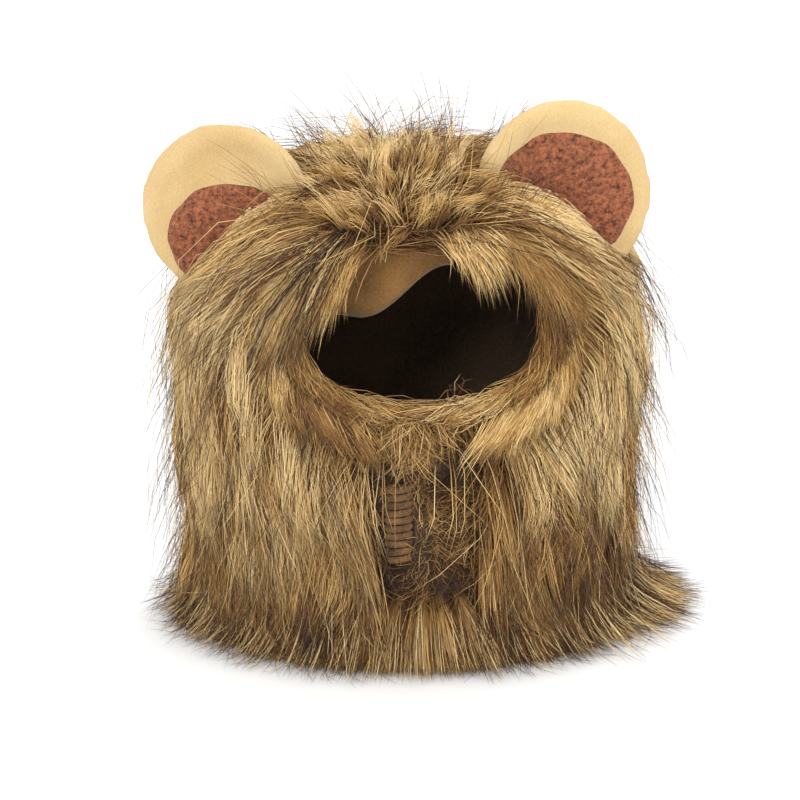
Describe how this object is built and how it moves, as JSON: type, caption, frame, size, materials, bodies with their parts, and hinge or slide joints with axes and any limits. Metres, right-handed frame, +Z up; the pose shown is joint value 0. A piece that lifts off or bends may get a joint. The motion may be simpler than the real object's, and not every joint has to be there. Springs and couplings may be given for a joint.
{
  "type": "pet lion mane wig",
  "caption": "Soft pet hood of long mane fur with round padded ears, an oval face opening with a rolled edge and a hook-and-loop closure at the chest.",
  "frame": {"origin": "centre of the bounding box's footprint, on the surface that the hood stands on", "axes": "+Z up through the crown, the face opening looks along -Y, +X towards the viewer's right"},
  "size_m": [0.2228, 0.1516, 0.2145],
  "materials": {
    "pile": "long, soft and matt, tan with dark roots and black tips",
    "crest": "long, soft and matt, pale tan with brown tips",
    "roll": "pile combed along the edge, warm tan",
    "tape": "matted short pile over hook-and-loop tape, dark brown",
    "tab": "overcast tape end, ribbed, tan-brown",
    "lining": "brushed cloth, dark brown, matt",
    "velour": "short cream-yellow velour, matt",
    "patch": "mottled red-brown terry, matt"
  },
  "bodies": {
    "root": {"hood_lining": "lining", "brow_lining": "velour", "fur_left": "pile", "fur_right": "pile", "fur_gusset": "crest", "face_roll": "roll", "closure_strip": "tape", "closure_tab": "tab", "chest_tuft": "crest", "ear_left": "velour", "ear_left_patch": "patch", "ear_right": "velour", "ear_right_patch": "patch"}
  },
  "joints": []
}
